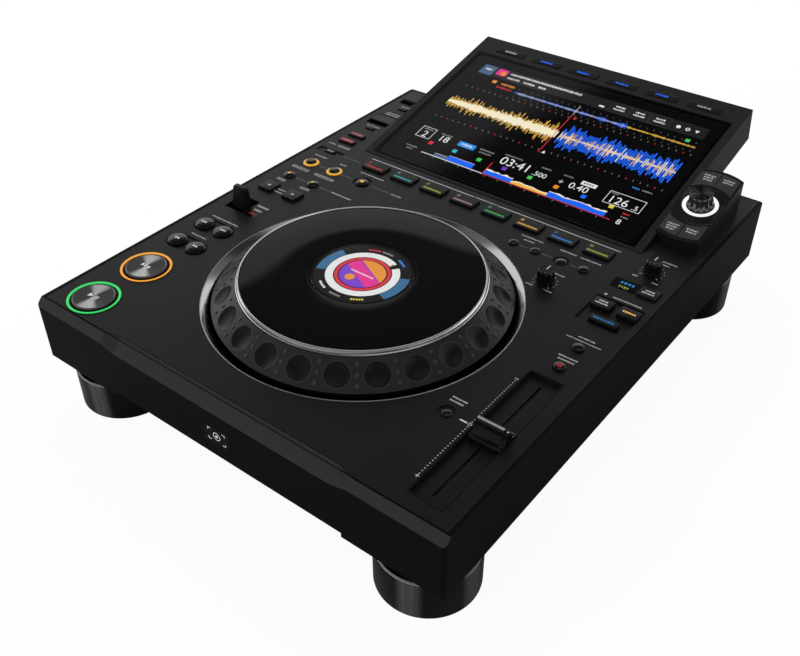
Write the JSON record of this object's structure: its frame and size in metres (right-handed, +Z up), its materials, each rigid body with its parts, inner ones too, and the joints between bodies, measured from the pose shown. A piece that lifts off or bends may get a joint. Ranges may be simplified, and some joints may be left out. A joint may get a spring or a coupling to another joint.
{
  "type": "tabletop dj media player",
  "caption": "Low dark tabletop player for a DJ with a large dimpled jog wheel, transport and pad keys, a tempo fader, a tilted touch screen and tall round feet.",
  "frame": {"origin": "centre of the whole part's footprint box, on the surface that the feet stand on", "axes": "+X to the user's right, +Y from the front edge to the screen, +Z up"},
  "size_m": [0.329, 0.47, 0.1225],
  "materials": {
    "case_plastic": "fine matte texture, black",
    "deck_plastic": "fine matte texture, black",
    "foot_plastic": "glossy black",
    "screw_steel": "black zinc",
    "housing_plastic": "satin black",
    "touch_glass": "polished",
    "display": "lit display panel",
    "light_ring": "translucent, lit",
    "bezel_metal": "satin",
    "bearing_steel": "turned",
    "track_steel": "plain",
    "board": "circuit board",
    "supply_steel": "folded sheet",
    "socket_plastic": "black",
    "wheel_plastic": "satin dark grey",
    "rim_metal": "polished",
    "platter_plastic": "fine concentric grooves",
    "window_clear": "polished",
    "key_metal": "spun",
    "key_plastic": "dark grey",
    "pad_rubber": "translucent grey",
    "knob_plastic": "fluted black",
    "selector_metal": "faceted",
    "fader_plastic": "ridged, with a white line",
    "lid_plastic": "black"
  },
  "bodies": {
    "player": {"lower_case": "case_plastic", "deck_panel": "deck_plastic", "feet": "foot_plastic", "case_screws": "screw_steel", "screen_housing": "housing_plastic", "screen_glass": "touch_glass", "display_panel": "display", "selector_pod": "housing_plastic", "light_rings": "light_ring", "jog_bezel": "bezel_metal", "jog_bearing": "bearing_steel", "jog_display": "display", "fader_track": "track_steel", "circuit_boards": "board", "power_supply": "supply_steel", "sockets": "socket_plastic"},
    "jog": {"jog_wheel": "wheel_plastic", "jog_rim": "rim_metal", "jog_platter": "platter_plastic", "jog_window": "window_clear"},
    "beat_loop_keys": {"beat_loop_keys": "key_plastic"},
    "call_keys": {"call_keys": "key_plastic"},
    "delete_key": {"delete_key": "key_plastic"},
    "hot_cue_1": {"hot_cue_1": "pad_rubber"},
    "hot_cue_2": {"hot_cue_2": "pad_rubber"},
    "hot_cue_3": {"hot_cue_3": "pad_rubber"},
    "hot_cue_4": {"hot_cue_4": "pad_rubber"},
    "hot_cue_5": {"hot_cue_5": "pad_rubber"},
    "hot_cue_6": {"hot_cue_6": "pad_rubber"},
    "hot_cue_7": {"hot_cue_7": "pad_rubber"},
    "hot_cue_8": {"hot_cue_8": "pad_rubber"},
    "jump_back_key": {"jump_back_key": "key_plastic"},
    "jump_forward_key": {"jump_forward_key": "key_plastic"},
    "key_sync_key": {"key_sync_key": "key_plastic"},
    "left_side_keys": {"left_side_keys": "key_plastic"},
    "loop_in_key": {"loop_in_key": "key_plastic"},
    "loop_out_key": {"loop_out_key": "key_plastic"},
    "master_tempo_key": {"master_tempo_key": "key_plastic"},
    "memory_key": {"memory_key": "key_plastic"},
    "mode_key": {"mode_key": "key_plastic"},
    "reloop_key": {"reloop_key": "key_plastic"},
    "search_back": {"search_back": "key_plastic"},
    "search_forward": {"search_forward": "key_plastic"},
    "sync_key": {"sync_key": "key_plastic"},
    "sync_master_key": {"sync_master_key": "key_plastic"},
    "tempo_range_key": {"tempo_range_key": "key_plastic"},
    "tempo_reset_key": {"tempo_reset_key": "key_plastic"},
    "track_back": {"track_back": "key_plastic"},
    "track_forward": {"track_forward": "key_plastic"},
    "play_key": {"play_key": "key_metal"},
    "cue_key": {"cue_key": "key_metal"},
    "screen_keys": {"screen_keys": "key_plastic"},
    "pod_keys_front": {"pod_keys_front": "key_plastic"},
    "pod_keys_rear": {"pod_keys_rear": "key_plastic"},
    "direction_lever": {"direction_lever": "knob_plastic"},
    "feel_knob": {"feel_knob": "knob_plastic"},
    "speed_knob": {"speed_knob": "knob_plastic"},
    "selector_knob": {"selector_knob": "selector_metal"},
    "tempo_fader": {"tempo_fader": "fader_plastic"},
    "usb_lid": {"usb_lid": "lid_plastic"}
  },
  "joints": [
    {"name": "beat_loop_keys_press", "type": "slide", "parent": "player", "child": "beat_loop_keys", "axis": [0, 0, -1], "range_m": [0, 0.0009], "stiffness_N_per_m": 600},
    {"name": "call_keys_press", "type": "slide", "parent": "player", "child": "call_keys", "axis": [0, 0, -1], "range_m": [0, 0.0009], "stiffness_N_per_m": 600},
    {"name": "delete_key_press", "type": "slide", "parent": "player", "child": "delete_key", "axis": [0, 0, -1], "range_m": [0, 0.0009], "stiffness_N_per_m": 600},
    {"name": "hot_cue_1_press", "type": "slide", "parent": "player", "child": "hot_cue_1", "axis": [0, 0, -1], "range_m": [0, 0.0009], "stiffness_N_per_m": 600},
    {"name": "hot_cue_2_press", "type": "slide", "parent": "player", "child": "hot_cue_2", "axis": [0, 0, -1], "range_m": [0, 0.0009], "stiffness_N_per_m": 600},
    {"name": "hot_cue_3_press", "type": "slide", "parent": "player", "child": "hot_cue_3", "axis": [0, 0, -1], "range_m": [0, 0.0009], "stiffness_N_per_m": 600},
    {"name": "hot_cue_4_press", "type": "slide", "parent": "player", "child": "hot_cue_4", "axis": [0, 0, -1], "range_m": [0, 0.0009], "stiffness_N_per_m": 600},
    {"name": "hot_cue_5_press", "type": "slide", "parent": "player", "child": "hot_cue_5", "axis": [0, 0, -1], "range_m": [0, 0.0009], "stiffness_N_per_m": 600},
    {"name": "hot_cue_6_press", "type": "slide", "parent": "player", "child": "hot_cue_6", "axis": [0, 0, -1], "range_m": [0, 0.0009], "stiffness_N_per_m": 600},
    {"name": "hot_cue_7_press", "type": "slide", "parent": "player", "child": "hot_cue_7", "axis": [0, 0, -1], "range_m": [0, 0.0009], "stiffness_N_per_m": 600},
    {"name": "hot_cue_8_press", "type": "slide", "parent": "player", "child": "hot_cue_8", "axis": [0, 0, -1], "range_m": [0, 0.0009], "stiffness_N_per_m": 600},
    {"name": "jump_back_key_press", "type": "slide", "parent": "player", "child": "jump_back_key", "axis": [0, 0, -1], "range_m": [0, 0.0009], "stiffness_N_per_m": 600},
    {"name": "jump_forward_key_press", "type": "slide", "parent": "player", "child": "jump_forward_key", "axis": [0, 0, -1], "range_m": [0, 0.0009], "stiffness_N_per_m": 600},
    {"name": "key_sync_key_press", "type": "slide", "parent": "player", "child": "key_sync_key", "axis": [0, 0, -1], "range_m": [0, 0.0009], "stiffness_N_per_m": 600},
    {"name": "left_side_keys_press", "type": "slide", "parent": "player", "child": "left_side_keys", "axis": [0, 0, -1], "range_m": [0, 0.0009], "stiffness_N_per_m": 600},
    {"name": "loop_in_key_press", "type": "slide", "parent": "player", "child": "loop_in_key", "axis": [0, 0, -1], "range_m": [0, 0.0009], "stiffness_N_per_m": 600},
    {"name": "loop_out_key_press", "type": "slide", "parent": "player", "child": "loop_out_key", "axis": [0, 0, -1], "range_m": [0, 0.0009], "stiffness_N_per_m": 600},
    {"name": "master_tempo_key_press", "type": "slide", "parent": "player", "child": "master_tempo_key", "axis": [0, 0, -1], "range_m": [0, 0.0009], "stiffness_N_per_m": 600},
    {"name": "memory_key_press", "type": "slide", "parent": "player", "child": "memory_key", "axis": [0, 0, -1], "range_m": [0, 0.0009], "stiffness_N_per_m": 600},
    {"name": "mode_key_press", "type": "slide", "parent": "player", "child": "mode_key", "axis": [0, 0, -1], "range_m": [0, 0.0009], "stiffness_N_per_m": 600},
    {"name": "reloop_key_press", "type": "slide", "parent": "player", "child": "reloop_key", "axis": [0, 0, -1], "range_m": [0, 0.0009], "stiffness_N_per_m": 600},
    {"name": "search_back_press", "type": "slide", "parent": "player", "child": "search_back", "axis": [0, 0, -1], "range_m": [0, 0.0009], "stiffness_N_per_m": 600},
    {"name": "search_forward_press", "type": "slide", "parent": "player", "child": "search_forward", "axis": [0, 0, -1], "range_m": [0, 0.0009], "stiffness_N_per_m": 600},
    {"name": "sync_key_press", "type": "slide", "parent": "player", "child": "sync_key", "axis": [0, 0, -1], "range_m": [0, 0.0009], "stiffness_N_per_m": 600},
    {"name": "sync_master_key_press", "type": "slide", "parent": "player", "child": "sync_master_key", "axis": [0, 0, -1], "range_m": [0, 0.0009], "stiffness_N_per_m": 600},
    {"name": "tempo_range_key_press", "type": "slide", "parent": "player", "child": "tempo_range_key", "axis": [0, 0, -1], "range_m": [0, 0.0009], "stiffness_N_per_m": 600},
    {"name": "tempo_reset_key_press", "type": "slide", "parent": "player", "child": "tempo_reset_key", "axis": [0, 0, -1], "range_m": [0, 0.0009], "stiffness_N_per_m": 600},
    {"name": "track_back_press", "type": "slide", "parent": "player", "child": "track_back", "axis": [0, 0, -1], "range_m": [0, 0.0009], "stiffness_N_per_m": 600},
    {"name": "track_forward_press", "type": "slide", "parent": "player", "child": "track_forward", "axis": [0, 0, -1], "range_m": [0, 0.0009], "stiffness_N_per_m": 600},
    {"name": "play_key_press", "type": "slide", "parent": "player", "child": "play_key", "axis": [0, 0, -1], "range_m": [0, 0.0009], "stiffness_N_per_m": 1500},
    {"name": "cue_key_press", "type": "slide", "parent": "player", "child": "cue_key", "axis": [0, 0, -1], "range_m": [0, 0.0009], "stiffness_N_per_m": 1500},
    {"name": "screen_keys_press", "type": "slide", "parent": "player", "child": "screen_keys", "axis": [0, 0.2222, -0.975], "range_m": [0, 0.0009], "stiffness_N_per_m": 1500},
    {"name": "pod_keys_front_press", "type": "slide", "parent": "player", "child": "pod_keys_front", "axis": [0, 0.2222, -0.975], "range_m": [0, 0.0009], "stiffness_N_per_m": 600},
    {"name": "pod_keys_rear_press", "type": "slide", "parent": "player", "child": "pod_keys_rear", "axis": [0, 0.2222, -0.975], "range_m": [0, 0.0009], "stiffness_N_per_m": 600},
    {"name": "direction_lever_tilt", "type": "hinge", "parent": "player", "child": "direction_lever", "pos_m": [-0.1431, -0.06709, 0.074], "axis": [1, 0, 0], "range_deg": [-12, 12]},
    {"name": "feel_knob_turn", "type": "hinge", "parent": "player", "child": "feel_knob", "pos_m": [0.0881, -0.01559, 0.082], "axis": [0, 0, 1], "range_deg": [-150, 150]},
    {"name": "speed_knob_turn", "type": "hinge", "parent": "player", "child": "speed_knob", "pos_m": [0.14, 0.03691, 0.082], "axis": [0, 0, 1], "range_deg": [-150, 150]},
    {"name": "selector_knob_turn", "type": "hinge", "parent": "player", "child": "selector_knob", "pos_m": [0.1378, 0.11071, 0.09864], "axis": [0, -0.2222, 0.975], "continuous": true},
    {"name": "jog_turn", "type": "hinge", "parent": "player", "child": "jog", "pos_m": [0, -0.09879, 0.082], "axis": [0, 0, 1], "continuous": true},
    {"name": "tempo_fader_slide", "type": "slide", "parent": "player", "child": "tempo_fader", "axis": [0, 1, 0], "range_m": [-0.05, 0.05]},
    {"name": "usb_lid_open", "type": "hinge", "parent": "player", "child": "usb_lid", "pos_m": [-0.1463, 0.11191, 0.0809], "axis": [-1, 0, 0], "range_deg": [0, 100]}
  ]
}
